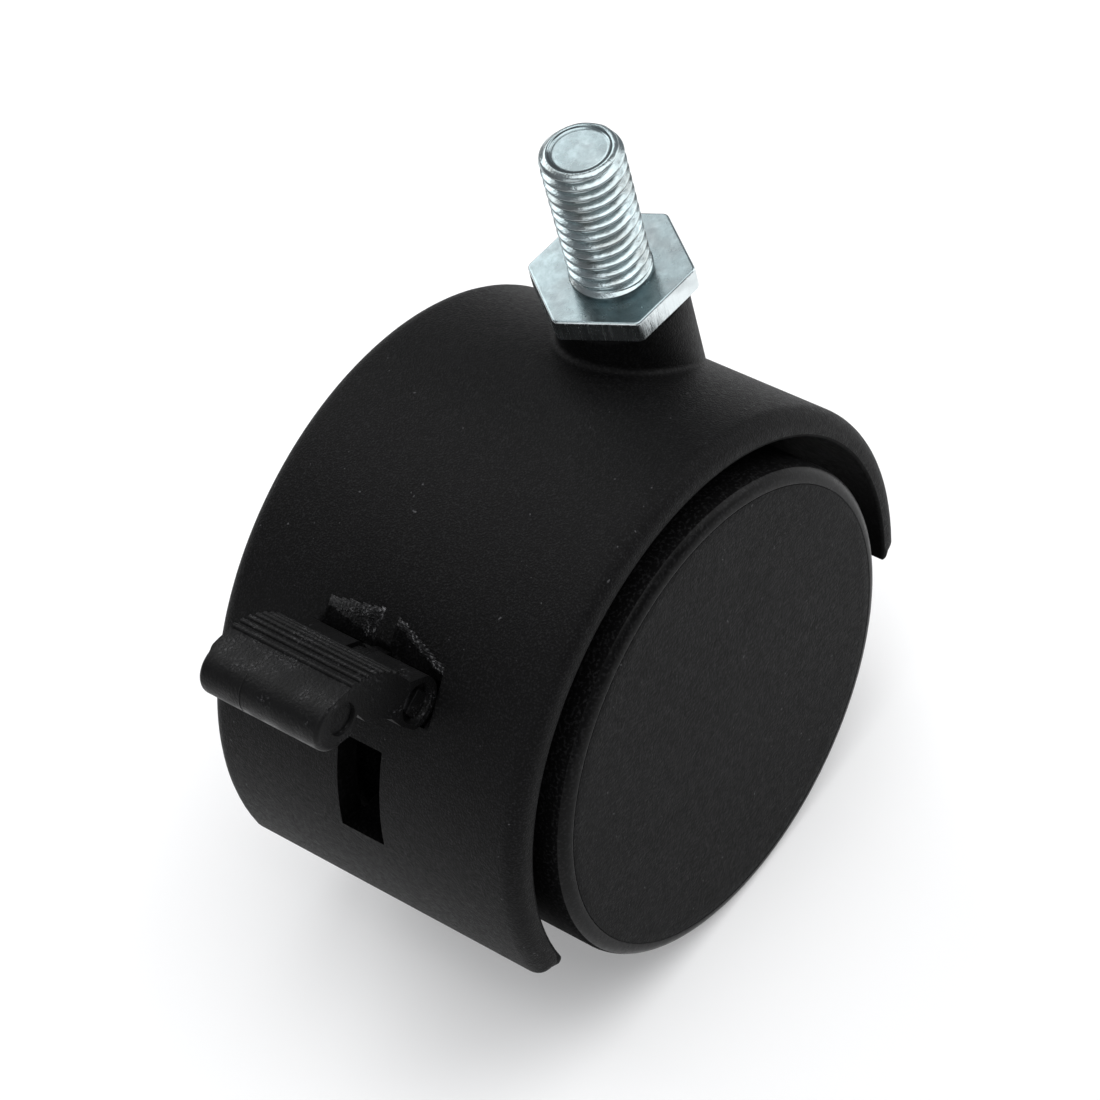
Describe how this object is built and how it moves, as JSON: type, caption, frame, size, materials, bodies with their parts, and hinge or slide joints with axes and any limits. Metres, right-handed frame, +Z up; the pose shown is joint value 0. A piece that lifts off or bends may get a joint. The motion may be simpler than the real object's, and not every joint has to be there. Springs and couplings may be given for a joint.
{
  "type": "chair caster wheel",
  "caption": "Hooded swivel chair caster with a threaded stem, two side by side wheels on one axle and a foot pedal brake.",
  "frame": {"origin": "on the stem axis, at the seat on top of the hexagonal flange, where the furniture's underside bears", "axes": "+Z up the stem, the wheels trail towards -X with the axle along Y, the brake pedal is at the -X end"},
  "size_m": [0.0656, 0.0394, 0.0748],
  "materials": {
    "hood_plastic": "fine spark-eroded grain",
    "pedal_plastic": "satin moulded, ribbed",
    "tread_plastic": "satin",
    "cover_plastic": "fine grain",
    "core_plastic": "plain moulded",
    "zinc_plate": "bright zinc plated",
    "axle_steel": "drawn",
    "sleeve_steel": "turned",
    "dark_steel": "blackened spring steel",
    "bearing_plastic": "natural acetal"
  },
  "bodies": {
    "stem": {"threaded_stem": "zinc_plate", "thrust_washer": "bearing_plastic", "stem_snap_ring": "dark_steel"},
    "housing": {"housing": "hood_plastic", "swivel_sleeve": "sleeve_steel", "brake_pivot_pin": "dark_steel", "axle": "axle_steel", "left_axle_washer": "bearing_plastic", "right_axle_washer": "bearing_plastic", "left_axle_clip": "dark_steel", "right_axle_clip": "dark_steel"},
    "left_wheel": {"left_wheel_core": "core_plastic", "left_wheel_tread": "tread_plastic", "left_wheel_cover": "cover_plastic", "left_hub_bush": "bearing_plastic"},
    "right_wheel": {"right_wheel_core": "core_plastic", "right_wheel_tread": "tread_plastic", "right_wheel_cover": "cover_plastic", "right_hub_bush": "bearing_plastic"},
    "brake": {"brake_pedal": "pedal_plastic"}
  },
  "joints": [
    {"name": "swivel", "type": "hinge", "parent": "stem", "child": "housing", "pos_m": [0, 0, 0], "axis": [0, 0, 1], "continuous": true},
    {"name": "left_wheel_spin", "type": "hinge", "parent": "housing", "child": "left_wheel", "pos_m": [-0.0186, 0, -0.0345], "axis": [0, 1, 0], "continuous": true},
    {"name": "right_wheel_spin", "type": "hinge", "parent": "housing", "child": "right_wheel", "pos_m": [-0.0186, 0, -0.0345], "axis": [0, 1, 0], "continuous": true},
    {"name": "brake_press", "type": "hinge", "parent": "housing", "child": "brake", "pos_m": [-0.0426, 0, -0.01243], "axis": [0, -1, 0], "range_deg": [0, 24]}
  ]
}
